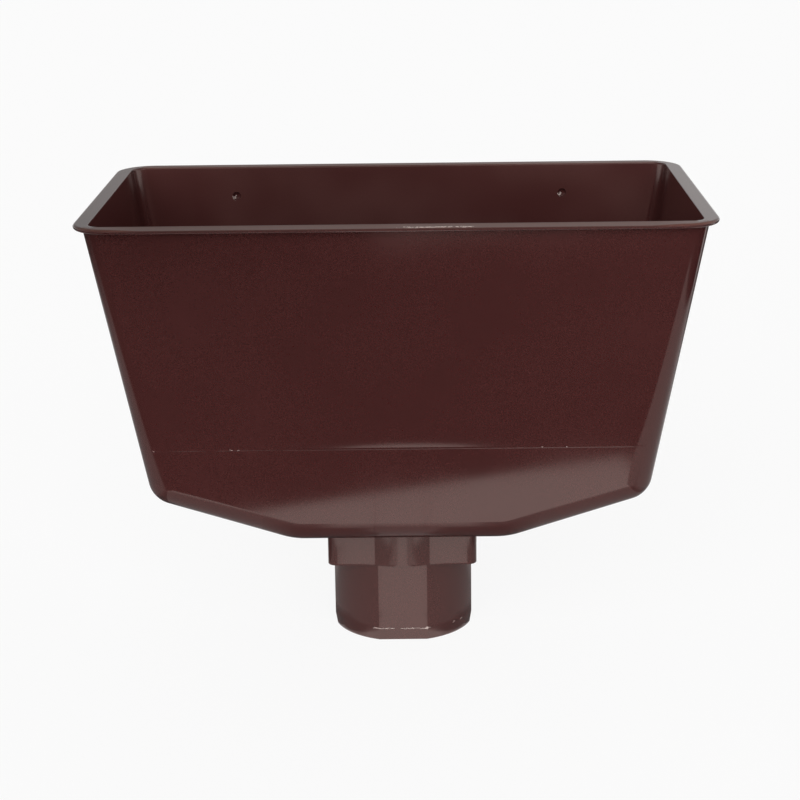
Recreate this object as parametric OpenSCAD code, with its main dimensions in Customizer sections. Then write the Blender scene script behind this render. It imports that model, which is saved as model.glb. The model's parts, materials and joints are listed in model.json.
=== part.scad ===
// Downpipe hopper head: an open-topped rainwater box with leaning walls, a floor that falls to a
// sump, and one outlet that fits a round or a square downpipe. It is a single moulding in PVC-U,
// so every wall has the same thickness, inside and out.
// Origin: outlet axis, at the end of the spigot. X runs along the wall, +Y points at the wall.

/* [Mouth] */
// Width over the lip
rim_w = 252; // [210:1:320]
// Depth over the lip, from the wall to the front
rim_d = 147; // [135:1:190]
// How far the lip stands out from the walls
lip_over = 4; // [2:0.5:7]
// Thickness of the lip
lip_t = 2; // [1.6:0.1:4]
// Radius of the lip's corners in plan
lip_corner_r = 16; // [10:0.5:20]

/* [Bowl] */
// Height from the end of the spigot to the top of the lip
overall_h = 196.5; // [170:0.5:240]
// Wall thickness everywhere
wall = 2.5; // [1.8:0.1:3.5]
// Distance from the outlet axis to the back edge of the lip
axis_to_back = 57; // [53:0.5:70]
// Inward lean of the two side walls, in degrees
side_lean = 9; // [4:0.1:13]
// Inward lean of the front wall, in degrees
front_lean = 9; // [2:0.1:11]
// Draft of the back wall, in degrees
back_lean = 0.5; // [0:0.1:2]
// Radius of the upright corners at the mouth
corner_r = 8; // [5:0.5:12]
// Radius of the bottom corners and bottom edges
base_r = 11.5; // [8:0.5:14]
// Width of the level sump round the outlet
sump_w = 90; // [80:1:120]
// Fall of the floor from the sides to the sump, in degrees
floor_fall = 18.5; // [5:0.5:25]
// Radius of the soft break where the falling floor meets the sump
break_r = 31; // [20:1:45]

/* [Outlet] */
// Height of the collar between the floor and the spigot
collar_h = 22.3; // [10:0.1:30]
// Diameter of the collar's round part
collar_d = 66.4; // [65:0.1:70]
// Width of the collar's square part, along the wall
collar_w = 64.6; // [62:0.1:66]
// Depth of the collar's square part, from its front to its back
collar_dp = 62; // [61:0.1:66]
// Radius of the collar's square corners
collar_corner_r = 3.8; // [3.6:0.1:8]
// Length of the spigot below the collar
spigot_len = 35.5; // [20:0.5:60]
// Diameter of the spigot's round quarters
spigot_d = 64.3; // [62.5:0.1:65]
// Width across the spigot's flats
spigot_sq = 60.7; // [58:0.1:60.9]
// Height of the lead-in at the end of the spigot
lead_h = 5.6; // [2:0.1:10]
// How far the lead-in draws in on each side
lead_in = 0.9; // [0.4:0.1:1.5]

/* [Fixing points] */
// Distance between the two screw points in the back wall
fixing_pitch = 147; // [100:1:170]
// Height of the screw points below the top of the lip
fixing_drop = 13.3; // [8:0.1:40]
// Diameter of a screw point
fixing_d = 3.8; // [2:0.1:5]
// Depth of a screw point's round wall
fixing_depth = 1; // [0.6:0.1:1.2]

/* [Hidden] */
pvc_brown = "#4a2422";
// Facets of the bowl's rounded corners, and of the true round parts
corner_facets = 40;
round_facets = 96;
// Centres along the soft break, from the sump to the falling floor
break_steps = 3;
// Length by which one solid runs into the next, or a cut runs past a face
reach = 1;
// Slab that carries the bowl's plan at the mouth
slab = 0.02;
// Half angle of the drill point, and the skin left behind it
drill_half_angle = 59;
fixing_skin = 0.5;

// Planes of the outer faces, each as a place at height z
function side_x(z) = rim_w / 2 - lip_over - (overall_h - z) * tan(side_lean);
function front_y(z) = axis_to_back - rim_d + lip_over + (overall_h - z) * tan(front_lean);
function back_y(z) = axis_to_back - lip_over - (overall_h - z) * tan(back_lean);

floor_z = spigot_len + collar_h;
sump_x = sump_w / 2;

// Centre of the rounding where side wall and falling floor meet, in the front elevation
shoulder_base = floor_z - sump_x * tan(floor_fall) + base_r / cos(floor_fall);
shoulder_x = (side_x(shoulder_base) - base_r / cos(side_lean)) / (1 - tan(side_lean) * tan(floor_fall));
shoulder = [shoulder_x, shoulder_base + shoulder_x * tan(floor_fall)];

// Centres of the rounding along the soft break between falling floor and sump
break_x = sump_x - break_r * tan(floor_fall / 2);
break_centres = [
    for (i = [0 : break_steps])
        let (a = floor_fall * i / break_steps)
        [break_x + (break_r - base_r) * sin(a), floor_z + break_r - (break_r - base_r) * cos(a)]
];

// Plan of a rectangle with round corners, as true arcs
module round_square(size, r) {
    square([size[0] - 2 * r, size[1]], center = true);
    square([size[0], size[1] - 2 * r], center = true);
    for (x = [-1, 1], y = [-1, 1])
        translate([x * (size[0] / 2 - r), y * (size[1] / 2 - r)])
            circle(r, $fn = round_facets);
}

// The bowl as one smooth convex form, drawn in by inset, with its mouth at height z
module bowl_form(inset, z) {
    mouth_r = corner_r - inset;
    base_ball = base_r - inset;
    hull() {
        for (x = [-1, 1]) {
            corner_x = side_x(z) - inset / cos(side_lean) - mouth_r;
            translate([x * corner_x, front_y(z) + inset / cos(front_lean) + mouth_r, z - slab])
                cylinder(r = mouth_r, h = slab, $fn = corner_facets);
            translate([x * corner_x, back_y(z) - inset / cos(back_lean) - mouth_r, z - slab])
                cylinder(r = mouth_r, h = slab, $fn = corner_facets);
            for (c = concat(break_centres, [shoulder])) {
                translate([x * c[0], front_y(c[1]) + base_r / cos(front_lean), c[1]])
                    sphere(base_ball, $fn = corner_facets);
                translate([x * c[0], back_y(c[1]) - base_r / cos(back_lean), c[1]])
                    sphere(base_ball, $fn = corner_facets);
            }
        }
    }
}

// Half section of the lip's outer part: flat underside, half-round edge
module lip_profile(run) {
    square([run - lip_t / 2, lip_t]);
    translate([run - lip_t / 2, lip_t / 2])
        circle(d = lip_t, $fn = round_facets);
}

// The lip, its section carried along the four sides and round the four corners
module lip() {
    straight_w = rim_w - 2 * lip_corner_r;
    straight_d = rim_d - 2 * lip_corner_r;
    corners = [[1, 1], [-1, 1], [-1, -1], [1, -1]];
    translate([0, axis_to_back - rim_d / 2, overall_h - lip_t])
        for (q = [0 : 3]) {
            long = q % 2 == 1;
            rotate(90 * q)
                translate([(long ? straight_d : straight_w) / 2, 0, 0])
                    rotate([90, 0, 0])
                        linear_extrude(long ? straight_w : straight_d, center = true)
                            lip_profile(lip_corner_r);
            translate([corners[q][0] * straight_w / 2, corners[q][1] * straight_d / 2, 0])
                rotate(90 * q)
                    rotate_extrude(angle = 90, $fn = round_facets)
                        lip_profile(lip_corner_r);
        }
}

// Plan of the collar: a square and a circle joined, drawn in by inset
module collar_plan(inset) {
    round_square([collar_w - 2 * inset, collar_dp - 2 * inset], collar_corner_r - inset);
    circle(d = collar_d - 2 * inset, $fn = round_facets);
}

// Plan of the spigot's bore: a circle with four flats
module spigot_bore_plan() {
    intersection() {
        square(spigot_sq - 2 * wall, center = true);
        circle(d = spigot_d - 2 * wall, $fn = round_facets);
    }
}

// Half section of the spigot, with the lead-in at its end
module spigot_profile(half) {
    polygon([
        [0, 0],
        [half - lead_in, 0],
        [half, lead_h],
        [half, spigot_len + reach],
        [0, spigot_len + reach],
    ]);
}

// Outside of the spigot: round at the corners, flat in the middle of each side
module spigot_form() {
    intersection() {
        rotate_extrude($fn = round_facets)
            spigot_profile(spigot_d / 2);
        for_both_ways()
            rotate([90, 0, 0])
                linear_extrude(spigot_d, center = true) {
                    spigot_profile(spigot_sq / 2);
                    mirror([1, 0])
                        spigot_profile(spigot_sq / 2);
                }
    }
}

// What is common to a shape and the same shape turned a quarter turn
module for_both_ways() {
    intersection() {
        children();
        rotate(90)
            children();
    }
}

// A screw point: a short round hole with a drill-point bottom, cut into the inner face
module fixing_point() {
    full_tip = fixing_d / 2 / tan(drill_half_angle);
    tip = min(full_tip, wall - fixing_depth - fixing_skin);
    rotate([-90, 0, 0]) {
        translate([0, 0, -reach])
            cylinder(d = fixing_d, h = reach + fixing_depth, $fn = round_facets);
        translate([0, 0, fixing_depth])
            cylinder(d1 = fixing_d, d2 = fixing_d * (1 - tip / full_tip), h = tip, $fn = round_facets);
    }
}

// The whole moulding
module hopper_head() {
    fixing_z = overall_h - fixing_drop;
    color(pvc_brown)
        difference() {
            union() {
                bowl_form(0, overall_h - lip_t / 2);
                lip();
                translate([0, 0, spigot_len])
                    linear_extrude(collar_h + wall / 2)
                        collar_plan(0);
                spigot_form();
            }
            bowl_form(wall, overall_h + reach);
            translate([0, 0, spigot_len + wall])
                linear_extrude(collar_h + reach)
                    collar_plan(wall);
            translate([0, 0, -reach])
                linear_extrude(spigot_len + wall + 2 * reach)
                    spigot_bore_plan();
            for (x = [-1, 1])
                translate([x * fixing_pitch / 2, back_y(fixing_z) - wall / cos(back_lean), fixing_z])
                    fixing_point();
        }
}

hopper_head();
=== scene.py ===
"""Downpipe hopper head: one moulding in brown PVC-U, with its finish, its camera and a plain studio.

The shape functions work in millimetres in the part's own frame: the origin is on the outlet axis at
the end of the spigot, X runs along the building's wall, +Y points at it and Z is up.
A mesh is turned to metres when it is made.
"""

import json
import math

import bmesh
import bpy
import numpy as np
from mathutils import Matrix, Vector


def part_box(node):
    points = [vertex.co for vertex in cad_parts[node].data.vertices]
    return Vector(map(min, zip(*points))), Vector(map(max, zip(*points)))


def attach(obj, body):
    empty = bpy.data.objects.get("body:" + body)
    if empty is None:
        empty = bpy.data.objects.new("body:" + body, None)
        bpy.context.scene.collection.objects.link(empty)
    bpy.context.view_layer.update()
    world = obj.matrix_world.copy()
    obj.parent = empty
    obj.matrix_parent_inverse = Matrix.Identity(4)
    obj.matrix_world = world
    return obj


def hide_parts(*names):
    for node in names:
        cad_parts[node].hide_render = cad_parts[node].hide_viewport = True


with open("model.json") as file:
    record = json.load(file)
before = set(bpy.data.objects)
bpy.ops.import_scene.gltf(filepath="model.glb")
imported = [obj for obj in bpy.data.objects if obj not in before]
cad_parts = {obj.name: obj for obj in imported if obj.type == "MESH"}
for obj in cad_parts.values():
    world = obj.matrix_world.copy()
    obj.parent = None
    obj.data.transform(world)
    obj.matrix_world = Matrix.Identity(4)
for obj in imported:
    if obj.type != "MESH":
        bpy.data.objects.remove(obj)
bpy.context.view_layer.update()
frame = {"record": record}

MM = 0.001
NODE = "hopper_head"

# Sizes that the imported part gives
box_low, box_high = (np.array(corner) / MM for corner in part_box(NODE))
mounts = {mount["name"]: mount for mount in frame["record"]["mounts"]}
RIM_X = box_high[0]
RIM_FRONT = box_low[1]
RIM_BACK = box_high[1]
TOP = box_high[2]
SPIGOT_R = mounts["outlet_spigot"]["dims"]["r_mm"]
SPIGOT_LEN = mounts["outlet_spigot"]["dims"]["length_mm"]
FIXING_PITCH = mounts["wall_fixings"]["dims"]["spacing_x_mm"]
FIXING_R = mounts["wall_fixings"]["dims"]["hole_r_mm"]
FIXING_Z = mounts["wall_fixings"]["pos_m"][2] / MM

# Sizes of the moulding that its box and mounts leave open
WALL = 2.5
LIP_OVER = 4.0
LIP_T = 2.0
LIP_CORNER_R = 16.0
# Fall of the lip's top along the front, which sheds water and thins the edge
LIP_FALL = 0.55
SIDE_LEAN = math.radians(9)
FRONT_LEAN = math.radians(9)
BACK_LEAN = math.radians(0.5)
CORNER_R = 8.0
BASE_R = 11.5
SUMP_W = 90.0
FLOOR_FALL = math.radians(18.5)
BREAK_R = 31.0
COLLAR_H = 22.3
COLLAR_R = 33.2
COLLAR_HALF = (32.3, 31.0)
COLLAR_CORNER_R = 3.8
SPIGOT_FLAT = 30.35
LEAD_H = 5.6
LEAD_IN = 0.9
FIXING_DEPTH = 1.0
FIXING_TIP = 1.0
# Height above the lip at which the inside's corner radius is given, as the cut runs past the mouth
INNER_RUN = 1.0
# Easing that a mould leaves on every crisp edge
EASE = 0.3
# Share of the lip's half width over which its fall fades out toward each corner
FALL_FADE = 0.1

# Mould line across the front wall, the broken flash on it and the shallow sink just above it
LINE_Z = 101.4
LINE_HALF = 0.25
FLASH = 0.05
FLASH_BREAK = 9.0
SINK_H = 7.0
SINK_DEPTH = 0.4
SINK_CURVE = 1.6
SINK_X = -12.0
SINK_HALF = 66.0
# The front wall's outside lies ahead of this Y, and its normal's Y is below this
FRONT_LIMIT = -55.0
FRONT_FACING = -0.9
# Heights, from the mould line, of the rings that carry these marks
MARK_STEPS = (-2, -1, -0.5, -0.25, -0.1, 0, 0.1, 0.25, 0.5, 1, 1.8, 2.6, 3.5, 4.5, 6, 8)

# Fineness of the mesh: counts of steps, and steps in millimetres and in degrees
CORNER_STEPS = 12
LIP_STEPS = 12
COLLAR_CORNER_STEPS = 8
SHOULDER_STEPS = 8
FLOOR_STEPS = 10
BREAK_STEPS = 6
LEVEL_STEP = 3.0
ANGLE_STEP = 3.0
FACE_CELLS = 56
SIDE_CELLS = 28
DRILL_SIDES = 48
# Width of the narrow cell that holds a flat face flat beside its rounding
HOLD = 0.6
# Points closer than this are one point, and angles are told apart to this many digits
WELD = 0.002
ANGLE_DIGITS = 6
# A point of the drill this close to its axis is on it
AXIS_NEAR = 0.01
# Least number that a length is divided by
TINY = 1e-9
# An edge that turns by more than this stays crisp
SHARP = math.radians(19)

# Knocked edges: stretches of the lead-in in degrees; and the stretch of each screw point's rim,
# in degrees, that takes pale flecks as a painted glint
BURR_TURNS = ((-114, -66), (-47, -43), (-38, -33))
BURR_TURN_STEP = 2.0
HOLE_GLINT_TURNS = (180, 250)
HOLE_GLINT_STEP = 10.0
# Scratches on the lip's front, each from one place to another in X and in from the rim
BURR_LIP = (((0.0, 1.0), (30.0, 1.8)), ((3.0, 2.1), (27.0, 1.1)), ((8.0, 1.3), (30.0, 2.2)))
# Stretches of the mould line where its flash is torn, in X
BURR_LINE_X = ((-99.8, -99.4), (-68.5, -68.0), (-65.6, -65.2), (57.8, 58.1), (67.8, 68.1))
# Chip at the corner between the lead-in's flat and its round, as steps across and up from there
# The same zigzag, set low inside each screw point, gives part of its painted glint
CHIP_ZIGZAG = ((-0.8, -0.3), (0.4, 0.1), (-0.4, 0.5), (0.7, 0.9), (0.1, -0.2))
# Flecks along these edges: spacing, the most that one strays, least and most half sizes
BURR_AND_GLINT_SPACING = 0.35
BURR_AND_GLINT_STRAY = (0.1, 0.1, 0.25)
BURR_AND_GLINT_LEAST = (0.05, 0.05, 0.1)
BURR_AND_GLINT_MOST = (0.26, 0.14, 0.5)
STRAY_SEED = 3
SIZE_SEED = 7
# Size of the clusters that they form, and the level of the noise below which an edge stays whole
BURR_AND_GLINT_CLUSTER = 5.0
BURR_AND_GLINT_BARE = 0.4

FRONT = -1
BACK = 1
MIRROR = np.array([-1.0, 1.0, 1.0])
UP = np.array([0.0, 0.0, 1.0])


# The bowl

def side_x(z):
    """Outer face of the right-hand wall at height z."""
    return RIM_X - LIP_OVER - (TOP - z) * math.tan(SIDE_LEAN)


def face_y(face, z):
    """Outer face of the front or back wall at height z."""
    if face == FRONT:
        return RIM_FRONT + LIP_OVER + (TOP - z) * math.tan(FRONT_LEAN)
    return RIM_BACK - LIP_OVER - (TOP - z) * math.tan(BACK_LEAN)


def lean_of(face):
    """Lean of the front or back wall."""
    return FRONT_LEAN if face == FRONT else BACK_LEAN


def inner_back_y(z):
    """Inner face of the back wall at height z."""
    return face_y(BACK, z) - WALL / math.cos(BACK_LEAN)


def face_normal(face):
    """Outward normal of the front or back wall."""
    return np.array([0.0, face * math.cos(lean_of(face)), -math.sin(lean_of(face))])


def floor_normal(fall):
    """Outward normal of the floor's underside on the right, where it falls by this angle."""
    return np.array([math.sin(fall), 0.0, -math.cos(fall)])


def spine(face, x, z):
    """Centre of the rounding that joins the floor to the front or back wall."""
    return np.array([x, face_y(face, z) - face * BASE_R / math.cos(lean_of(face)), z])


FLOOR_Z = SPIGOT_LEN + COLLAR_H
BREAK_X = SUMP_W / 2 - BREAK_R * math.tan(FLOOR_FALL / 2)
# Centre of the rounding where a side wall meets the falling floor
SHOULDER_BASE = FLOOR_Z - SUMP_W / 2 * math.tan(FLOOR_FALL) + BASE_R / math.cos(FLOOR_FALL)
SHOULDER_X = (side_x(SHOULDER_BASE) - BASE_R / math.cos(SIDE_LEAN)) / (
    1 - math.tan(SIDE_LEAN) * math.tan(FLOOR_FALL))
SHOULDER_Z = SHOULDER_BASE + SHOULDER_X * math.tan(FLOOR_FALL)


def fan(start, end):
    """Unit directions that turn evenly from start to end, as an edge's rounding does."""
    angle = math.acos(start @ end)
    turn = np.linspace(0, angle, CORNER_STEPS + 1)[:, None]
    return (np.sin(angle - turn) * start + np.sin(turn) * end) / math.sin(angle)


def between(start, end, cells):
    """Points that divide a straight run into even cells, with a narrow one at each end."""
    hold = HOLD / np.linalg.norm(end - start)
    shares = np.concatenate([[hold], np.linspace(0, 1, cells + 1)[1:-1], [1 - hold]])
    return start + (end - start) * shares[:, None]


def ring(front, back):
    """Closed ring of points from its right-hand corners, each ordered from its wall to the side."""
    half = np.vstack([front, between(front[-1], back[-1], SIDE_CELLS), back[::-1]])
    rear = between(back[0], back[0] * MIRROR, FACE_CELLS)
    nose = between(front[0] * MIRROR, front[0], FACE_CELLS)
    return np.vstack([half, rear, half[::-1] * MIRROR, nose])


def upright_corner(inset, face, mouth_z):
    """Straight lines of an upright corner, from the mouth's arc to the ball at the shoulder."""
    mouth_r = CORNER_R - inset
    foot_r = BASE_R - inset
    mouth = np.array([
        side_x(mouth_z) - inset / math.cos(SIDE_LEAN) - mouth_r,
        face_y(face, mouth_z) - face * (inset / math.cos(lean_of(face)) + mouth_r),
        mouth_z,
    ])
    foot = spine(face, SHOULDER_X, SHOULDER_Z)
    turn = np.linspace(math.pi / 2, 0, CORNER_STEPS + 1)
    out = np.column_stack([np.cos(turn), face * np.sin(turn), np.zeros_like(turn)])
    reach = out @ (mouth - foot) + mouth_r
    rise = mouth_z - foot[2]
    dip = np.arccos(foot_r / np.hypot(reach, rise)) - np.arctan2(rise, reach)
    foot_directions = np.cos(dip)[:, None] * out - np.sin(dip)[:, None] * UP
    return mouth + mouth_r * out, foot, foot_directions


def wall_levels(top_z, extra):
    """Heights of the rings down a wall, from top_z to just above the shoulder."""
    count = round((top_z - SHOULDER_Z) / LEVEL_STEP)
    even = np.linspace(top_z, SHOULDER_Z, count + 1)
    return np.unique(np.concatenate([even, extra]))[::-1]


def bowl_corners(inset, levels, mouth_z, face):
    """One right-hand corner of every ring of the bowl's skin, from the mouth down and in to the sump."""
    foot_r = BASE_R - inset
    mouth_points, foot, foot_directions = upright_corner(inset, face, mouth_z)
    foot_points = foot + foot_r * foot_directions
    drop = foot_points - mouth_points
    corners = [mouth_points + drop * ((z - mouth_z) / drop[:, 2])[:, None] for z in levels]
    corners.append(foot_points)

    edge = fan(face_normal(face), floor_normal(FLOOR_FALL))
    for share in np.linspace(0, 1, SHOULDER_STEPS + 1)[1:]:
        direction = (1 - share) * foot_directions + share * edge
        direction /= np.linalg.norm(direction, axis=1)[:, None]
        corners.append(foot + foot_r * direction)

    def break_centre(fall):
        swing = BREAK_R - BASE_R
        return spine(face, BREAK_X + swing * math.sin(fall), FLOOR_Z + BREAK_R - swing * math.cos(fall))

    for share in np.linspace(0, 1, FLOOR_STEPS + 1)[1:]:
        corners.append(foot + share * (break_centre(FLOOR_FALL) - foot) + foot_r * edge)
    for fall in np.linspace(FLOOR_FALL, 0, BREAK_STEPS + 1)[1:]:
        corners.append(break_centre(fall) + foot_r * fan(face_normal(face), floor_normal(fall)))
    return corners


def bowl_skin(inset, levels, mouth_z):
    """Rings of the bowl's outer or inner skin, and the two rolled edges that close it along the sump."""
    fronts = bowl_corners(inset, levels, mouth_z, FRONT)
    backs = bowl_corners(inset, levels, mouth_z, BACK)
    rings = [ring(front, back) for front, back in zip(fronts, backs)]

    def across(point):
        left = point * MIRROR
        return np.vstack([point, between(point, left, FACE_CELLS), left])

    edges = [[across(point) for point in corner] for corner in (fronts[-1], backs[-1])]
    return rings, edges


def lip_ring(inward, share):
    """Ring of the lip, drawn in from the rim, at a share of the way from its underside to its top."""
    radius = LIP_CORNER_R - inward
    corners = []
    for face, rim_y in ((FRONT, RIM_FRONT), (BACK, RIM_BACK)):
        centre = np.array([RIM_X - LIP_CORNER_R, rim_y - face * LIP_CORNER_R, 0])
        turn = np.linspace(math.pi / 2, 0, CORNER_STEPS + 1)
        out = np.column_stack([np.cos(turn), face * np.sin(turn), np.zeros_like(turn)])
        corners.append(centre + radius * out)
    points = ring(*corners)
    to_corner = np.clip(1 - np.abs(points[:, 0]) / (RIM_X - LIP_CORNER_R), 0, 1)
    along_front = points[:, 1] < RIM_FRONT + LIP_CORNER_R
    fall = LIP_FALL * np.minimum(1, to_corner / FALL_FADE) * along_front
    points[:, 2] = TOP - LIP_T + (LIP_T - fall) * share
    return points


def lip_rings():
    """Rings of the lip, from its underside round the half-round edge to its top."""
    nose_r = LIP_T / 2
    hold = nose_r + EASE
    rings = [lip_ring(hold, 0)]
    for turn in np.linspace(-math.pi / 2, math.pi / 2, LIP_STEPS + 1):
        rings.append(lip_ring(nose_r * (1 - math.cos(turn)), (1 + math.sin(turn)) / 2))
    rings.append(lip_ring(hold, 1))
    return rings


# The outlet

def collar_reach(angle, inset):
    """Distance from the outlet axis to the collar: a square with round corners joined to a circle."""
    across = abs(math.cos(angle))
    deep = abs(math.sin(angle))
    half_x = COLLAR_HALF[0] - inset
    half_y = COLLAR_HALF[1] - inset
    corner_r = COLLAR_CORNER_R - inset
    reach = min(half_x / max(across, TINY), half_y / max(deep, TINY))
    centre = (half_x - corner_r, half_y - corner_r)
    if reach * across > centre[0] and reach * deep > centre[1]:
        along = across * centre[0] + deep * centre[1]
        reach = along + math.sqrt(along ** 2 - centre[0] ** 2 - centre[1] ** 2 + corner_r ** 2)
    return max(reach, COLLAR_R - inset)


def collar_breaks(inset):
    """Angles in the first quarter at which the collar's outline changes from flat to round."""
    half_x = COLLAR_HALF[0] - inset
    half_y = COLLAR_HALF[1] - inset
    corner_r = COLLAR_CORNER_R - inset
    return [
        math.acos(half_x / (COLLAR_R - inset)),
        math.atan2(half_y - corner_r, half_x),
        math.atan2(half_y, half_x - corner_r),
        math.asin(half_y / (COLLAR_R - inset)),
    ]


def spigot_reach(angle, inset):
    """Distance from the outlet axis to the spigot: a circle with four flats."""
    flat = (SPIGOT_FLAT - inset) / max(abs(math.cos(angle)), abs(math.sin(angle)))
    return min(flat, SPIGOT_R - inset)


def spigot_breaks(inset):
    """Angles in the first quarter at which the spigot's outline changes from flat to round."""
    half_flat = math.acos((SPIGOT_FLAT - inset) / (SPIGOT_R - inset))
    return [half_flat, math.pi / 2 - half_flat]


def eased(corners):
    """A section line of (inset, height) corners, each rounded a little between faces that stay flat."""
    def toward(corner, other, length):
        return corner + (other - corner) * min(0.5, length / np.linalg.norm(other - corner))

    points = [np.array(corner, float) for corner in corners]
    line = [points[0]]
    for before, corner, after in zip(points, points[1:], points[2:]):
        start = toward(corner, before, EASE)
        end = toward(corner, after, EASE)
        line += [toward(corner, before, EASE + HOLD), start, (start + 2 * corner + end) / 4]
        line += [end, toward(corner, after, EASE + HOLD)]
    line.append(points[-1])
    return line[:1] + [b for a, b in zip(line, line[1:]) if np.linalg.norm(b - a) > WELD]


def outlet_loops():
    """Loops of the outlet's skin: down the collar and spigot outside, then up again inside."""
    ledge_z = SPIGOT_LEN + WALL
    shelf = 2 * EASE
    sections = [
        (collar_reach, eased([(0, FLOOR_Z), (0, SPIGOT_LEN), (shelf, SPIGOT_LEN)])),
        (spigot_reach, eased([
            (-EASE, SPIGOT_LEN), (0, SPIGOT_LEN), (0, LEAD_H), (LEAD_IN, 0), (WALL, 0),
            (WALL, ledge_z), (WALL - EASE, ledge_z)])),
        (collar_reach, eased([(WALL + EASE, ledge_z), (WALL, ledge_z), (WALL, FLOOR_Z + WALL)])),
    ]
    quarter = set(np.radians(np.arange(0, 90, ANGLE_STEP)))
    for inset in (0, WALL):
        breaks = collar_breaks(inset)
        quarter.update(breaks)
        quarter.update(np.linspace(breaks[1], breaks[2], COLLAR_CORNER_STEPS + 1))
    for inset in (0, LEAD_IN, WALL):
        quarter.update(spigot_breaks(inset))
    angles = set()
    for turn in range(4):
        for angle in quarter:
            mirrored = math.pi / 2 - angle if turn % 2 else angle
            angles.add(round((turn * math.pi / 2 + mirrored) % (2 * math.pi), ANGLE_DIGITS))
    loops = []
    for reach, line in sections:
        for inset, z in line:
            loops.append(np.array([
                [reach(a, inset) * math.cos(a), reach(a, inset) * math.sin(a), z] for a in sorted(angles)]))
    return loops


# The moulding

def add_patch(bm, rows, closed):
    """Adds a sheet of four-sided faces through rows of points."""
    grid = [[bm.verts.new(point * MM) for point in row] for row in rows]
    columns = range(len(rows[0]) if closed else len(rows[0]) - 1)
    for upper, lower in zip(grid, grid[1:]):
        for i in columns:
            j = (i + 1) % len(upper)
            bm.faces.new((upper[i], upper[j], lower[j], lower[i]))


def moulding_mesh():
    """The whole moulding as one closed skin of even wall: bowl, lip, floor, collar and spigot."""
    outer_levels = wall_levels(TOP - LIP_T, [LINE_Z + step for step in MARK_STEPS])
    outer, outer_edges = bowl_skin(0, outer_levels, TOP - LIP_T / 2)
    inner_levels = wall_levels(TOP, [TOP - EASE, TOP - EASE - HOLD])
    inner, inner_edges = bowl_skin(WALL, inner_levels, TOP + INNER_RUN)
    lip = lip_rings()

    # The mouth's inner edge, eased between the top of the lip and the inside
    edge = inner[0]
    to_lip = lip[-1] - edge
    reach = EASE * to_lip / np.linalg.norm(to_lip, axis=1)[:, None]
    inner[0:1] = [edge + 2 * reach, edge + reach, (3 * edge + reach + inner[1]) / 4]

    bm = bmesh.new()
    add_patch(bm, outer[::-1] + lip + inner, closed=True)
    for rows in outer_edges + inner_edges:
        add_patch(bm, rows, closed=False)
    add_patch(bm, outlet_loops(), closed=True)
    bmesh.ops.remove_doubles(bm, verts=bm.verts, dist=WELD * MM)
    for level in (FLOOR_Z, FLOOR_Z + WALL):
        rim = [e for e in bm.edges if e.is_boundary
               and all(abs(v.co.z / MM - level) < WELD for v in e.verts)]
        bmesh.ops.triangle_fill(bm, edges=rim, use_beauty=True)
    bmesh.ops.recalc_face_normals(bm, faces=bm.faces)
    mesh = bpy.data.meshes.new("hopper_head_moulding")
    bm.to_mesh(mesh)
    bm.free()
    return mesh


def mark_wear_and_painted_light(mesh):
    """Marks painted light inside the back wall, and wear with a painted sheen on the lip's front and back.
    """
    places = np.empty(3 * len(mesh.vertices))
    mesh.vertices.foreach_get("co", places)
    y, z = places.reshape(-1, 3).T[1:] / MM
    # The lip's top along its front and back: wear, and a painted sheen
    lip_front = (z > TOP - LIP_FALL - EASE / 2) & (y < RIM_FRONT + LIP_OVER + WALL)
    lip_back = (z > TOP - EASE / 2) & (y > RIM_BACK - LIP_OVER - WALL)
    marks = {
        # Painted light: the inner face of the back wall, to be painted lighter
        "film": (np.abs(y - inner_back_y(z)) < WALL / 4) & (z > SHOULDER_Z),
        "rub": lip_front | lip_back,
    }
    for name, marked in marks.items():
        mesh.attributes.new(name, "FLOAT", "POINT").data.foreach_set("value", marked.astype(float))


# Materials

# Widths of the clouds, grain and painted-light patches of the moulded surface, and of the grain of a torn
# one.
# Both grains are finer on the real part, and are drawn as coarse as they need to show.
CLOUD = 45.0
GRAIN = 0.6
PAINTED_LIGHT_PATCH = 34.0
TORN_GRAIN = 0.8
# Depth of the moulded grain, how strongly it shows, and the gloss over it
GRAIN_DEPTH = 0.1
GRAIN_BUMP = 0.03
PVC_IOR = 1.56
PVC_SPECULAR = 0.95
# How far the lip's scuffed top takes its paler colour, partly wear and partly a painted sheen,
# and how much duller it is
RUB_AND_SHEEN_SHARE = 0.5
RUB_DULL = 0.3
# Places of a Mix node's two colours among its inputs, and of the mixed colour among its outputs
MIX_A = 6
MIX_B = 7
MIXED = 2


def linear(code):
    """An sRGB hex colour as linear red, green, blue and full alpha."""
    parts = [int(code[i:i + 2], 16) / 255 for i in (1, 3, 5)]
    return [p / 12.92 if p <= 0.04045 else ((p + 0.055) / 1.055) ** 2.4 for p in parts] + [1.0]


def add(tree, kind, inputs=None, **settings):
    """Adds a node of this kind to a tree, with its settings, and its sockets set or linked."""
    node = tree.nodes.new(kind)
    for name, value in settings.items():
        setattr(node, name, value)
    for socket, value in (inputs or {}).items():
        if isinstance(value, bpy.types.NodeSocket):
            tree.links.new(value, node.inputs[socket])
        else:
            node.inputs[socket].default_value = value
    return node


def new_material(name):
    """An empty node material and its tree."""
    material = bpy.data.materials.new(name)
    material.use_nodes = True
    material.node_tree.nodes.clear()
    return material, material.node_tree


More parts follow.
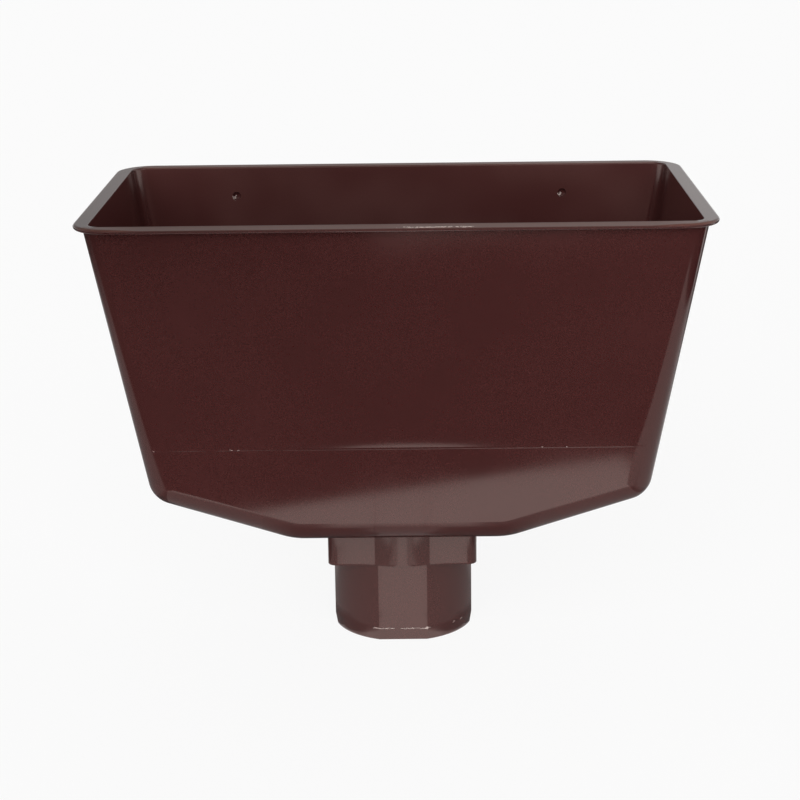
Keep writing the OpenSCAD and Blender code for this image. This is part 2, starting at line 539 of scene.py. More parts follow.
def moulded_pvc():
    """Injection-moulded PVC-U, through-coloured brown: a deep colour under a clear, slightly uneven gloss.

    The melt leaves soft clouds in the colour and the gloss, and a fine grain from the mould's skin.
    The inner face of the back wall is painted lighter in soft patches, a painted light that stands in
    for the light reaching it, and the lip is scuffed dull along its front and back, its top painted
    lighter: partly wear, partly a painted sheen.
    """
    material, tree = new_material("pvc_u_moulded_brown")
    place = add(tree, "ShaderNodeTexCoord").outputs["Object"]
    cloud = add(tree, "ShaderNodeTexNoise", {"Vector": place, "Scale": 1 / (CLOUD * MM), "Detail": 3.0})
    grain = add(tree, "ShaderNodeTexNoise", {"Vector": place, "Scale": 1 / (GRAIN * MM), "Detail": 2.0})
    clouded = add(tree, "ShaderNodeMix", {
        "Factor": cloud.outputs["Fac"], MIX_A: linear("#3d1f1e"), MIX_B: linear("#472524")},
        data_type="RGBA").outputs[MIXED]
    # Painted light: the back wall's inside turns a paler brown in soft patches, for the light reaching it
    light_patch = add(tree, "ShaderNodeTexNoise", {"Vector": place, "Scale": 1 / (PAINTED_LIGHT_PATCH * MM), "Detail": 1.0})
    light_patch = add(tree, "ShaderNodeMapRange", {
        "Value": light_patch.outputs["Fac"], "From Min": 0.25, "From Max": 0.8, "To Min": 0.05, "To Max": 0.24},
        interpolation_type="SMOOTHSTEP")
    film = add(tree, "ShaderNodeAttribute", attribute_name="film").outputs["Fac"]
    film = add(tree, "ShaderNodeMath", {0: film, 1: light_patch.outputs[0]}, operation="MULTIPLY").outputs[0]
    lightened = add(tree, "ShaderNodeMix", {
        "Factor": film, MIX_A: clouded, MIX_B: linear("#74534e")}, data_type="RGBA").outputs[MIXED]
    # The lip's top turns a paler brown along its front and back: partly wear, partly a painted sheen
    rub = add(tree, "ShaderNodeAttribute", attribute_name="rub").outputs["Fac"]
    worn_and_lit = add(tree, "ShaderNodeMath", {0: rub, 1: RUB_AND_SHEEN_SHARE}, operation="MULTIPLY").outputs[0]
    rubbed_and_lit = add(tree, "ShaderNodeMix", {
        "Factor": worn_and_lit, MIX_A: lightened, MIX_B: linear("#6e4438")}, data_type="RGBA").outputs[MIXED]
    speck = add(tree, "ShaderNodeMapRange", {
        "Value": grain.outputs["Fac"], "From Min": 0.3, "From Max": 0.7, "To Min": 0.95, "To Max": 1.05})
    colour = add(tree, "ShaderNodeVectorMath", {
        0: rubbed_and_lit, "Scale": speck.outputs[0]}, operation="SCALE")
    gloss = add(tree, "ShaderNodeMapRange", {
        "Value": cloud.outputs["Fac"], "From Min": 0.3, "From Max": 0.7, "To Min": 0.08, "To Max": 0.125})
    dull = add(tree, "ShaderNodeMath", {
        0: rub, 1: RUB_DULL, 2: gloss.outputs[0]}, operation="MULTIPLY_ADD")
    bump = add(tree, "ShaderNodeBump", {
        "Height": grain.outputs["Fac"], "Strength": GRAIN_BUMP, "Distance": GRAIN_DEPTH * MM})
    shader = add(tree, "ShaderNodeBsdfPrincipled", {
        "Base Color": colour.outputs[0], "Roughness": dull.outputs[0], "IOR": PVC_IOR,
        "Specular IOR Level": PVC_SPECULAR, "Specular Tint": linear("#ffe9e1"),
        "Normal": bump.outputs["Normal"]})
    add(tree, "ShaderNodeOutputMaterial", {"Surface": shader.outputs["BSDF"]})
    return material


def whitened_pvc_and_glint():
    """PVC-U whitened where an edge was knocked: the torn surface scatters light, so it is pale and matt.
    The same flecks stand as painted glints in the screw points.
    """
    material, tree = new_material("pvc_u_whitened_by_wear")
    place = add(tree, "ShaderNodeTexCoord").outputs["Object"]
    grain = add(tree, "ShaderNodeTexNoise", {
        "Vector": place, "Scale": 1 / (TORN_GRAIN * MM), "Detail": 2.0})
    colour = add(tree, "ShaderNodeMix", {
        "Factor": grain.outputs["Fac"], MIX_A: linear("#b39c95"), MIX_B: linear("#f4e8e2")},
        data_type="RGBA").outputs[MIXED]
    shader = add(tree, "ShaderNodeBsdfPrincipled", {
        "Base Color": colour, "Roughness": 0.7, "IOR": 1.53})
    add(tree, "ShaderNodeOutputMaterial", {"Surface": shader.outputs["BSDF"]})
    return material


# Node trees that mark, cut and wear the moulding, and set painted glints in its screw points

def new_tree(name, sizes):
    """A geometry tree with a geometry, these named sizes and a material as inputs, and those inputs."""
    tree = bpy.data.node_groups.new(name, "GeometryNodeTree")
    face = tree.interface
    face.new_socket("Geometry", in_out="INPUT", socket_type="NodeSocketGeometry")
    for size, value in sizes.items():
        kind = "NodeSocketVector" if np.ndim(value) else "NodeSocketFloat"
        face.new_socket(size, in_out="INPUT", socket_type=kind)
    face.new_socket("Material", in_out="INPUT", socket_type="NodeSocketMaterial")
    face.new_socket("Geometry", in_out="OUTPUT", socket_type="NodeSocketGeometry")
    return tree, add(tree, "NodeGroupInput").outputs


def close_tree(tree, given, geometry):
    """Ends a geometry tree: instances made real, and the material set."""
    real = add(tree, "GeometryNodeRealizeInstances", {"Geometry": geometry})
    done = add(tree, "GeometryNodeSetMaterial", {
        "Geometry": real.outputs[0], "Material": given["Material"]})
    add(tree, "NodeGroupOutput", {"Geometry": done.outputs[0]})


def run_tree(piece, tree, sizes, material):
    """Runs a tree on a piece with its sizes in millimetres, and keeps the result as a plain mesh."""
    modifier = piece.modifiers.new(tree.name, "NODES")
    modifier.node_group = tree
    for item in tree.interface.items_tree:
        if item.in_out == "INPUT" and item.name in sizes:
            modifier[item.identifier] = np.multiply(sizes[item.name], MM).tolist()
        if item.in_out == "INPUT" and item.name == "Material":
            modifier[item.identifier] = material
    evaluated = piece.evaluated_get(bpy.context.evaluated_depsgraph_get())
    mesh = bpy.data.meshes.new_from_object(evaluated)
    piece.modifiers.remove(modifier)
    piece.data = mesh


def mould_mark_tree(sizes):
    """Raises the flash of the mould line on the front wall, and lets the wall sink just above it."""
    tree, given = new_tree("mould_marks", sizes)
    position = add(tree, "GeometryNodeInputPosition").outputs[0]
    place = add(tree, "ShaderNodeSeparateXYZ", {0: position}).outputs
    normal = add(tree, "GeometryNodeInputNormal").outputs["Normal"]
    facing = add(tree, "ShaderNodeSeparateXYZ", {0: normal}).outputs["Y"]
    ahead = add(tree, "FunctionNodeCompare", {0: facing, 1: FRONT_FACING}, operation="LESS_THAN")
    outside = add(tree, "FunctionNodeCompare", {
        0: place["Y"], 1: given["Front limit"]}, operation="LESS_THAN")
    front = add(tree, "FunctionNodeBooleanMath", {
        0: ahead.outputs[0], 1: outside.outputs[0]}, operation="AND")

    # The flash, highest on the line and broken along it
    above = add(tree, "ShaderNodeMath", {
        0: place["Z"], 1: given["Line height"]}, operation="SUBTRACT").outputs[0]
    away = add(tree, "ShaderNodeMath", {0: above}, operation="ABSOLUTE").outputs[0]
    flash = add(tree, "ShaderNodeMapRange", {
        "Value": away, "From Max": given["Line half"], "To Min": given["Flash"], "To Max": 0.0}).outputs[0]
    along = add(tree, "ShaderNodeCombineXYZ", {0: place["X"]}).outputs[0]
    patch = add(tree, "ShaderNodeTexNoise", {
        "Vector": along, "Scale": 1 / (FLASH_BREAK * MM), "Detail": 2.0})
    broken = add(tree, "ShaderNodeMapRange", {
        "Value": patch.outputs["Fac"], "From Min": 0.3, "From Max": 0.5}).outputs[0]
    flash = add(tree, "ShaderNodeMath", {0: flash, 1: broken}, operation="MULTIPLY")

    # The sink, deepest at the line, and in X at its middle
    fade = add(tree, "ShaderNodeMapRange", {
        "Value": above, "From Max": given["Sink height"], "To Min": 1.0, "To Max": 0.0}).outputs[0]
    slope = add(tree, "ShaderNodeMath", {0: fade, 1: SINK_CURVE}, operation="POWER").outputs[0]
    upper = add(tree, "FunctionNodeCompare", {0: above, 1: 0.0}, operation="GREATER_EQUAL").outputs[0]
    slope = add(tree, "ShaderNodeMath", {0: slope, 1: upper}, operation="MULTIPLY").outputs[0]
    offset = add(tree, "ShaderNodeMath", {
        0: place["X"], 1: given["Sink middle"]}, operation="SUBTRACT").outputs[0]
    share = add(tree, "ShaderNodeMath", {0: offset, 1: given["Sink half"]}, operation="DIVIDE").outputs[0]
    share = add(tree, "ShaderNodeMath", {0: share, 1: share}, operation="MULTIPLY").outputs[0]
    width = add(tree, "ShaderNodeMath", {
        0: 1.0, 1: share}, operation="SUBTRACT", use_clamp=True).outputs[0]
    sink = add(tree, "ShaderNodeMath", {0: slope, 1: width}, operation="MULTIPLY").outputs[0]
    sink = add(tree, "ShaderNodeMath", {0: sink, 1: given["Sink depth"]}, operation="MULTIPLY").outputs[0]
    out = add(tree, "ShaderNodeMath", {0: flash.outputs[0], 1: sink}, operation="SUBTRACT").outputs[0]
    step = add(tree, "ShaderNodeVectorMath", {0: normal, "Scale": out}, operation="SCALE").outputs[0]
    moved = add(tree, "GeometryNodeSetPosition", {
        "Geometry": given["Geometry"], "Selection": front.outputs[0], "Offset": step})
    close_tree(tree, given, moved.outputs[0])
    return tree


def screw_point_tree(sizes):
    """Cuts two blind screw points with drill-point bottoms into the inner face of the back wall."""
    tree, given = new_tree("screw_points", sizes)
    half = add(tree, "ShaderNodeMath", {0: given["Pitch"], 1: 0.5}, operation="MULTIPLY").outputs[0]
    left = add(tree, "ShaderNodeMath", {0: half, 1: -1.0}, operation="MULTIPLY").outputs[0]
    first = add(tree, "ShaderNodeCombineXYZ", {0: left, 1: given["Face"], 2: given["Height"]}).outputs[0]
    apart = add(tree, "ShaderNodeCombineXYZ", {0: given["Pitch"]}).outputs[0]
    points = add(tree, "GeometryNodeMeshLine", {"Count": 2, "Start Location": first, "Offset": apart})
    length = add(tree, "ShaderNodeMath", {0: given["Depth"], 1: 2.0}, operation="MULTIPLY").outputs[0]
    drill = add(tree, "GeometryNodeMeshCylinder", {
        "Vertices": DRILL_SIDES, "Radius": given["Radius"], "Depth": length}, fill_type="TRIANGLE_FAN")

    # The middle of the drill's far end, which is drawn out to its point
    position = add(tree, "GeometryNodeInputPosition").outputs[0]
    spot = add(tree, "ShaderNodeSeparateXYZ", {0: position}).outputs
    flat = add(tree, "ShaderNodeCombineXYZ", {0: spot["X"], 1: spot["Y"]}).outputs[0]
    out = add(tree, "ShaderNodeVectorMath", {0: flat}, operation="LENGTH").outputs["Value"]
    middle = add(tree, "FunctionNodeCompare", {0: out, 1: AXIS_NEAR * MM}, operation="LESS_THAN")
    far = add(tree, "FunctionNodeCompare", {0: spot["Z"], 1: 0.0}, operation="GREATER_THAN")
    centre = add(tree, "FunctionNodeBooleanMath", {
        0: middle.outputs[0], 1: far.outputs[0]}, operation="AND")
    tip = add(tree, "ShaderNodeCombineXYZ", {2: given["Tip"]}).outputs[0]
    drill = add(tree, "GeometryNodeSetPosition", {
        "Geometry": drill.outputs["Mesh"], "Selection": centre.outputs[0], "Offset": tip})

    drills = add(tree, "GeometryNodeInstanceOnPoints", {
        "Points": points.outputs["Mesh"], "Instance": drill.outputs[0],
        "Rotation": (-math.pi / 2, 0.0, 0.0)})
    drills = add(tree, "GeometryNodeRealizeInstances", {"Geometry": drills.outputs[0]})
    cut = add(tree, "GeometryNodeMeshBoolean", {
        "Mesh 1": given["Geometry"], "Mesh 2": drills.outputs[0]},
        operation="DIFFERENCE", solver="MANIFOLD")
    close_tree(tree, given, cut.outputs["Mesh"])
    return tree


def burr_and_glint_tree(sizes):
    """Sets small torn flecks in clusters along knocked edges, and as painted glints in screw points."""
    tree, given = new_tree("edge_burrs", sizes)
    path = add(tree, "GeometryNodeMeshToCurve", {"Mesh": given["Geometry"]})
    points = add(tree, "GeometryNodeCurveToPoints", {
        "Curve": path.outputs[0], "Length": given["Spacing"]}, mode="LENGTH")
    place = add(tree, "GeometryNodeInputPosition").outputs[0]
    patch = add(tree, "ShaderNodeTexNoise", {
        "Vector": place, "Scale": 1 / (BURR_AND_GLINT_CLUSTER * MM), "Detail": 2.0})
    bare = add(tree, "FunctionNodeCompare", {0: patch.outputs["Fac"], 1: BURR_AND_GLINT_BARE}, operation="LESS_THAN")
    kept = add(tree, "GeometryNodeDeleteGeometry", {
        "Geometry": points.outputs["Points"], "Selection": bare.outputs[0]}, domain="POINT")
    back = add(tree, "ShaderNodeVectorMath", {
        0: given["Stray"], "Scale": -1.0}, operation="SCALE").outputs[0]
    stray = add(tree, "FunctionNodeRandomValue", {
        0: back, 1: given["Stray"], "Seed": STRAY_SEED}, data_type="FLOAT_VECTOR")
    moved = add(tree, "GeometryNodeSetPosition", {"Geometry": kept.outputs[0], "Offset": stray.outputs[0]})
    fleck = add(tree, "GeometryNodeMeshIcoSphere", {"Radius": 1.0, "Subdivisions": 2})
    size = add(tree, "FunctionNodeRandomValue", {
        0: given["Least"], 1: given["Most"], "Seed": SIZE_SEED}, data_type="FLOAT_VECTOR")
    flecks = add(tree, "GeometryNodeInstanceOnPoints", {
        "Points": moved.outputs[0], "Instance": fleck.outputs["Mesh"],
        "Rotation": points.outputs["Rotation"], "Scale": size.outputs[0]})
    close_tree(tree, given, flecks.outputs[0])
    return tree


# The pieces

def add_moulding():
    """The moulding with its mould marks and screw points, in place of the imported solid."""
    piece = bpy.data.objects.new("hopper_head_moulding", moulding_mesh())
    bpy.context.scene.collection.objects.link(piece)
    pvc = moulded_pvc()
    marks = {
        "Line height": LINE_Z, "Line half": LINE_HALF, "Flash": FLASH, "Sink height": SINK_H,
        "Sink depth": SINK_DEPTH, "Sink middle": SINK_X, "Sink half": SINK_HALF, "Front limit": FRONT_LIMIT}
    run_tree(piece, mould_mark_tree(marks), marks, pvc)
    holes = {
        "Pitch": FIXING_PITCH, "Height": FIXING_Z, "Face": inner_back_y(FIXING_Z),
        "Radius": FIXING_R, "Depth": FIXING_DEPTH, "Tip": FIXING_TIP}
    run_tree(piece, screw_point_tree(holes), holes, pvc)
    mark_wear_and_painted_light(piece.data)
    piece.data.shade_smooth()
    piece.data.set_sharp_from_angle(angle=SHARP)
    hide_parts(NODE)
    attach(piece, "root")


def burr_and_glint_paths():
    """Lines of knocked edges: lead-in, its chipped corner, lip front, mould line; screw points' painted
    glints.
    """
    leads = []
    for span in BURR_TURNS:
        turns = np.radians(np.arange(*span, BURR_TURN_STEP))
        leads.append([
            (spigot_reach(a, 0) * math.cos(a), spigot_reach(a, 0) * math.sin(a), LEAD_H) for a in turns])
    corner = math.sqrt(SPIGOT_R ** 2 - SPIGOT_FLAT ** 2)
    chip = [(corner + x, -SPIGOT_FLAT, LEAD_H + z) for x, z in CHIP_ZIGZAG]
    lips = [[(x, RIM_FRONT + inward, TOP - LIP_FALL) for x, inward in scratch] for scratch in BURR_LIP]
    inner_face = inner_back_y(FIXING_Z)
    turns = np.radians(np.arange(*HOLE_GLINT_TURNS, HOLE_GLINT_STEP))
    # Painted glints: pale flecks on the lower left of each screw point's rim and inside it, where light
    # would catch
    holes = []
    for middle in (-FIXING_PITCH / 2, FIXING_PITCH / 2):
        holes.append([(middle + FIXING_R * math.cos(a), inner_face, FIXING_Z + FIXING_R * math.sin(a))
                      for a in turns])
        holes.append([(middle + x - FIXING_R / 2, inner_face + FIXING_DEPTH, FIXING_Z + z - FIXING_R / 2)
                      for x, z in CHIP_ZIGZAG])
    lines = [[(x, face_y(FRONT, LINE_Z), LINE_Z) for x in span] for span in BURR_LINE_X]
    return leads + [chip] + holes + lips + lines


def add_burrs_and_glints():
    """Pale flecks where the edges of the moulding were knocked or torn, and painted glints in its screw
    points.
    """
    verts = []
    edges = []
    for path in burr_and_glint_paths():
        base = len(verts)
        verts += [tuple(v * MM for v in point) for point in path]
        edges += [(base + i, base + i + 1) for i in range(len(path) - 1)]
    mesh = bpy.data.meshes.new("edge_burrs")
    mesh.from_pydata(verts, edges, [])
    burrs_and_glints = bpy.data.objects.new("edge_burrs", mesh)
    bpy.context.scene.collection.objects.link(burrs_and_glints)
    sizes = {"Spacing": BURR_AND_GLINT_SPACING, "Stray": BURR_AND_GLINT_STRAY, "Least": BURR_AND_GLINT_LEAST, "Most": BURR_AND_GLINT_MOST}
    run_tree(burrs_and_glints, burr_and_glint_tree(sizes), sizes, whitened_pvc_and_glint())
    burrs_and_glints.data.shade_smooth()
    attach(burrs_and_glints, "root")


add_moulding()
add_burrs_and_glints()


# The camera, as the photograph was taken, and the studio

# The camera's place, its turns in radians, and its view in the photograph's pixels
CAMERA_PLACE = (10.05, -829.23, 346.06)
CAMERA_YAW = -0.002
CAMERA_PITCH = 0.2874
CAMERA_ROLL = 0.0113
FOCAL_PX = 1966.94
IMAGE_PX = 800
CENTRE_PX = 420
SENSOR_MM = 36.0

# Half the width of the floor, how far it is lit through, and the low backdrop's height and light
FLOOR = 8000.0
FLOOR_GLOW = 0.9
BACKDROP_H = 750.0
BACKDROP_LIGHT = 0.956
# The bench that the gloss sees on the floor, turned a little in plan: dark ahead and at the right-hand
# end, dim farther ahead at the right, and under gauze of these depths at the left and the right
STAGE_BLACK = "#0e0d0d"
BENCH_DIM = "#a09c9a"
BENCH_LEFT_DEPTH = 0.72
BENCH_RIGHT_DEPTH = 0.62
BENCH_TURN = math.radians(-13)
BENCH_AHEAD = 173.0
BENCH_DEEP = 400.0
CORNER_AT = 80.0
BENCH_LEFT = 115.0
BENCH_RIGHT = 150.0
BENCH_END = 390.0
END_BACK = 220.0
BENCH_BACK = 600.0
SIDE_FULL = 40.0
BENCH_FAR = 2500.0
BENCH_Z = 0.5
# Soft shade on the floor beside the outlet, drawn for its right and mirrored for its left: its depth,
# its height, where it is full, and the way from there to its thin edge
SHADE = 0.66
SHADE_Z = 1.0
SHADE_PLAN = (
    (28.0, 20.0), (28.0, -16.0), (15.0, -36.0), (14.0, -58.0), (19.0, -76.0), (20.0, -90.0),
    (42.0, -98.0), (40.0, -142.0), (150.0, -124.0), (150.0, 20.0))
SHADE_EDGE = (
    (0.0, 70.0), (0.0, 0.0), (-4.0, 0.0), (-5.0, 0.0), (-5.0, -4.0), (-6.0, -10.0),
    (-12.0, -10.0), (-12.0, -8.0), (30.0, -20.0), (40.0, 70.0))
# Deeper shade close to the foot of the spigot's sides, drawn in the same way
FOOT = 0.45
FOOT_Z = 0.75
FOOT_PLAN = (
    (20.0, -24.0), (27.0, -32.0), (40.0, -16.0), (42.0, 4.0), (36.0, 22.0), (26.0, 14.0), (29.0, -6.0))
FOOT_EDGE = ((-5.0, -1.0), (-3.0, -8.0), (6.0, -3.0), (6.0, 1.0), (4.0, 8.0), (-4.0, 4.0), (-5.0, 1.0))
# A small flag close under the sump's front edge, which shades its rounding
FLAG_Z = 56.8
FLAG_PLAN = ((-44.0, -70.0), (44.0, -70.0), (44.0, -40.0), (-44.0, -40.0))
FLAG_EDGE = ((-16.0, -9.0), (16.0, -9.0), (16.0, 3.0), (-16.0, 3.0))
# Upright blades of gauze ahead of the collar's bulge, which leave it a narrow stripe of light
BLADE = 0.34
BLADES = {
    "blade_left": ((-10.8, -45.0), (-11.1, -55.0), (-12.1, -96.0), (-13.5, -154.0)),
    "blade_right": ((10.8, -45.0), (10.8, -55.0), (10.8, -96.0), (10.8, -154.0)),
}
# An upright flag at the upper left, which only the light sees: its plane, and its run in depth and height
SIDE_FLAG_X = -142.0
SIDE_FLAG_Y = (-480.0, -95.0)
SIDE_FLAG_Z = (200.0, 460.0)
# Dark wings far behind at both sides, which keep the upper silhouettes dark
WING = 0.9
WING_LEFT = ((-500.0, -300.0), (-500.0, 430.0), (-230.0, 680.0), (-230.0, 1500.0),
             (-2500.0, 1500.0), (-2500.0, -300.0))
WING_LEFT_EDGE = ((140.0, 0.0), (140.0, -170.0), (80.0, -260.0), (80.0, 500.0),
                  (0.0, 500.0), (0.0, 0.0))
WING_RIGHT = ((330.0, 300.0), (190.0, 600.0), (190.0, 1500.0), (2500.0, 1500.0), (2500.0, 300.0))
WING_RIGHT_EDGE = ((-80.0, -150.0), (-50.0, -270.0), (-50.0, 500.0), (0.0, 500.0), (0.0, -150.0))
# One large soft lamp above the front: the way it shines, its spread and its power
LAMP_TOWARD = (0.12, 1.0, -0.38)
LAMP_SPREAD = math.radians(60)
LAMP_POWER = 3.55
# The surround's light along each axis: two directions, and the levels of light that they have
SURROUND = {"X": (-0.2, 0.2, 0.38, 0.66), "Z": (0.25, 0.8, 1.0, 0.6), "Y": (-0.6, 0.2, 0.35, 1.0)}


def add_camera():
    """The camera at the photograph's viewing angle."""
    yaw, pitch, roll = CAMERA_YAW, CAMERA_PITCH, CAMERA_ROLL
    ahead = np.array([math.sin(yaw) * math.cos(pitch), math.cos(yaw) * math.cos(pitch), -math.sin(pitch)])
    level = np.array([math.cos(yaw), -math.sin(yaw), 0.0])
    under = np.cross(ahead, level)
    right = math.cos(roll) * level + math.sin(roll) * under
    down = math.cos(roll) * under - math.sin(roll) * level
    data = bpy.data.cameras.new("camera")
    data.sensor_width = SENSOR_MM
    data.lens = FOCAL_PX / IMAGE_PX * SENSOR_MM
    data.shift_x = 0.5 - CENTRE_PX / IMAGE_PX
    camera = bpy.data.objects.new("camera", data)
    matrix = np.eye(4)
    matrix[:3, 0], matrix[:3, 1], matrix[:3, 2] = right, -down, -ahead
    matrix[:3, 3] = np.array(CAMERA_PLACE) * MM
    camera.matrix_world = Matrix(matrix.tolist())
    bpy.context.scene.collection.objects.link(camera)
    bpy.context.scene.camera = camera


def add_sheet(name, corners, faces=None):
    """A sheet on the stage through corners in millimetres, as one face or as these faces."""
    mesh = bpy.data.meshes.new(name)
    mesh.from_pydata([(x * MM, y * MM, z * MM) for x, y, z in corners], [], faces or [range(len(corners))])
    sheet = bpy.data.objects.new(name, mesh)
    bpy.context.scene.collection.objects.link(sheet)
    return sheet


def flat_sheet(name, corners, z, faces=None):
    """A level sheet on the stage, through corners in plan."""
    return add_sheet(name, [(x, y, z) for x, y in corners], faces)


def band(count, closed=False):
    """Faces of a band from one row of this many corners to the next row."""
    steps = range(count if closed else count - 1)
    return [(i, (i + 1) % count, (i + 1) % count + count, i + count) for i in steps]


def matt_material(name, colour):
    """A plain matt sheet of one colour."""
    material, tree = new_material(name)
    sheet = add(tree, "ShaderNodeBsdfDiffuse", {"Color": linear(colour)})
    add(tree, "ShaderNodeOutputMaterial", {"Surface": sheet.outputs["BSDF"]})
    return material


def floor_material():
    """Matt white floor. The view and the gloss see it partly lit through, so the background is white."""
    material, tree = new_material("floor_matt_white")
    path = add(tree, "ShaderNodeLightPath").outputs
    seen = path["Is Camera Ray"]
    for ray in ("Is Glossy Ray", "Is Transmission Ray"):
        seen = add(tree, "ShaderNodeMath", {0: seen, 1: path[ray]}, operation="MAXIMUM").outputs[0]
    share = add(tree, "ShaderNodeMath", {0: seen, 1: FLOOR_GLOW}, operation="MULTIPLY").outputs[0]
    sheet = add(tree, "ShaderNodeBsdfDiffuse", {"Color": linear("#f6f6f6")})
    glow = add(tree, "ShaderNodeEmission", {"Color": linear("#ffffff"), "Strength": 1.0})
    mixed = add(tree, "ShaderNodeMixShader", {0: share, 1: sheet.outputs[0], 2: glow.outputs[0]})
    add(tree, "ShaderNodeOutputMaterial", {"Surface": mixed.outputs[0]})
    return material


def backdrop_material():
    """White backdrop as bright as the lit floor, so that the two run into each other."""
    material, tree = new_material("backdrop_matt_white")
    glow = add(tree, "ShaderNodeEmission", {"Color": linear("#ffffff"), "Strength": BACKDROP_LIGHT})
    add(tree, "ShaderNodeOutputMaterial", {"Surface": glow.outputs[0]})
    return material


def gauze_material():
    """Dark gauze that thins out to its edges."""
    material, tree = new_material("gauze_dark")
    depth = add(tree, "ShaderNodeAttribute", attribute_name="shade").outputs["Fac"]
    clear = add(tree, "ShaderNodeBsdfTransparent")
    dark = add(tree, "ShaderNodeBsdfDiffuse", {"Color": linear(STAGE_BLACK)})
    mixed = add(tree, "ShaderNodeMixShader", {0: depth, 1: clear.outputs[0], 2: dark.outputs[0]})
    add(tree, "ShaderNodeOutputMaterial", {"Surface": mixed.outputs[0]})
    return material


def only_for_gloss(sheet, material):
    """Lets only the gloss of the object see this sheet."""
    sheet.data.materials.append(material)
    sheet.visible_camera = False
    sheet.visible_diffuse = False
    sheet.visible_shadow = False


def add_gauze(name, corners, faces, depths, material):
    """A gauze that is as dark at each of its corners as the depths say."""
    sheet = add_sheet(name, corners, faces)
    sheet.data.attributes.new("shade", "FLOAT", "POINT").data.foreach_set("value", depths)
    only_for_gloss(sheet, material)


def add_bench(gauze):
    """The bench on the floor, seen in the object's gloss: dark ahead, grey and fading at the sides."""
    along = np.array([math.cos(BENCH_TURN), math.sin(BENCH_TURN)])
    back = np.array([-along[1], along[0]])

    def oblong(across, rows):
        return [u * along + v * back for v in rows for u in across]

    dark = matt_material("bench_black", STAGE_BLACK)
    dim = matt_material("bench_dim", BENCH_DIM)
    spans = {
        "bench_ahead": (dark, (-BENCH_FAR, BENCH_FAR), (-BENCH_DEEP, -BENCH_AHEAD)),
        "bench_corner": (dark, (-BENCH_FAR, CORNER_AT), (-BENCH_FAR, -BENCH_DEEP)),
        "bench_front": (dim, (CORNER_AT, BENCH_FAR), (-BENCH_FAR, -BENCH_DEEP)),
        "bench_end": (dark, (BENCH_END, BENCH_FAR), (-BENCH_AHEAD, END_BACK)),
    }
    for name, (material, across, rows) in spans.items():
        only_for_gloss(flat_sheet(name, oblong(across, rows), BENCH_Z, band(2)), material)
    sides = {
        "bench_left": ((-BENCH_FAR, -BENCH_LEFT), BENCH_LEFT_DEPTH),
        "bench_right": ((BENCH_RIGHT, BENCH_END), BENCH_RIGHT_DEPTH),
    }
    for name, (across, depth) in sides.items():
        corners = [(x, y, BENCH_Z) for x, y in oblong(across, (-BENCH_AHEAD, SIDE_FULL, BENCH_BACK))]
        faces = [(i, i + 1, i + 3, i + 2) for i in (0, 2)]
        add_gauze(name, corners, faces, [depth] * 4 + [0.0] * 2, gauze)


def add_shade(gauze):
    """Soft-edged gauzes that the gloss sees: by the outlet, under the sump, far behind, and the blades."""
    sheets = {
        "shade_left": (SHADE_PLAN, SHADE_EDGE, -1, SHADE_Z, SHADE),
        "shade_right": (SHADE_PLAN, SHADE_EDGE, 1, SHADE_Z, SHADE),
        "foot_left": (FOOT_PLAN, FOOT_EDGE, -1, FOOT_Z, FOOT),
        "foot_right": (FOOT_PLAN, FOOT_EDGE, 1, FOOT_Z, FOOT),
        "flag": (FLAG_PLAN, FLAG_EDGE, 1, FLAG_Z, SHADE),
        "wing_left": (WING_LEFT, WING_LEFT_EDGE, 1, SHADE_Z, WING),
        "wing_right": (WING_RIGHT, WING_RIGHT_EDGE, 1, SHADE_Z, WING),
    }
    for name, (plan, edge, side, z, depth) in sheets.items():
        full = [(side * x, y, z) for x, y in plan]
        thin = [(side * (x + dx), y + dy, z) for (x, y), (dx, dy) in zip(plan, edge)]
        count = len(full)
        faces = [range(count)] + band(count, closed=True)
        add_gauze(name, full + thin, faces, [depth] * count + [0.0] * count, gauze)
    for name, plan in BLADES.items():
        corners = [(x, y, z) for z in (SHADE_Z, FLAG_Z) for x, y in plan]
        add_gauze(name, corners, band(len(plan)), [0.0, BLADE, BLADE, 0.0] * 2, gauze)


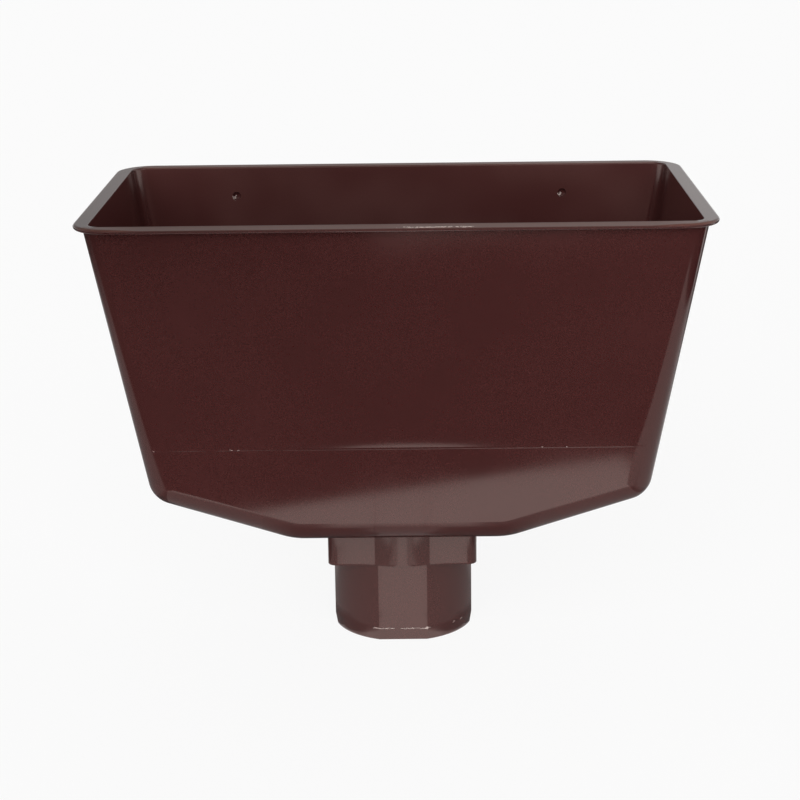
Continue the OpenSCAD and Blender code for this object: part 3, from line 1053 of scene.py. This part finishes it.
def add_side_flag():
    """An upright dark flag at the upper left, which holds the lamp back from that end of the front."""
    corners = [(SIDE_FLAG_X, y, z) for z in SIDE_FLAG_Z for y in SIDE_FLAG_Y]
    flag = add_sheet("side_flag", corners, band(2))
    flag.data.materials.append(matt_material("flag_black", STAGE_BLACK))
    flag.visible_camera = False
    flag.visible_glossy = False


def add_lamp():
    """A large soft lamp that lights the object and the floor evenly."""
    data = bpy.data.lights.new("softbox", "SUN")
    data.angle = LAMP_SPREAD
    data.energy = LAMP_POWER
    lamp = bpy.data.objects.new("softbox", data)
    lamp.rotation_euler = Vector(LAMP_TOWARD).to_track_quat("-Z", "Y").to_euler()
    lamp.visible_glossy = False
    bpy.context.scene.collection.objects.link(lamp)


def add_surround():
    """A white surround, dimmer at the left, above and ahead of the object."""
    world = bpy.data.worlds.new("surround")
    bpy.context.scene.world = world
    world.use_nodes = True
    tree = world.node_tree
    tree.nodes.clear()
    place = add(tree, "ShaderNodeTexCoord").outputs["Generated"]
    toward = add(tree, "ShaderNodeSeparateXYZ", {0: place}).outputs
    level = 1.0
    for axis, (start, end, first, last) in SURROUND.items():
        change = add(tree, "ShaderNodeMapRange", {
            "Value": toward[axis], "From Min": start, "From Max": end, "To Min": first, "To Max": last})
        level = add(tree, "ShaderNodeMath", {
            0: level, 1: change.outputs[0]}, operation="MULTIPLY").outputs[0]
    sky = add(tree, "ShaderNodeBackground", {"Color": linear("#ffffff"), "Strength": level})
    add(tree, "ShaderNodeOutputWorld", {"Surface": sky.outputs["Background"]})


def add_studio():
    """White floor, low backdrop, sheets that only the gloss or the lamp sees, the lamp and the surround."""
    plan = [(-FLOOR, -FLOOR), (FLOOR, -FLOOR), (FLOOR, FLOOR), (-FLOOR, FLOOR)]
    floor = flat_sheet("floor", plan, 0)
    floor.data.materials.append(floor_material())
    corners = [(x, y, z) for z in (0, BACKDROP_H) for x, y in plan]
    backdrop = add_sheet("backdrop", corners, band(len(plan), closed=True))
    backdrop.data.materials.append(backdrop_material())
    backdrop.visible_diffuse = False
    backdrop.visible_shadow = False
    gauze = gauze_material()
    add_bench(gauze)
    add_shade(gauze)
    add_side_flag()
    add_lamp()
    add_surround()


add_camera()
add_studio()
bpy.context.scene.view_settings.view_transform = "Standard"
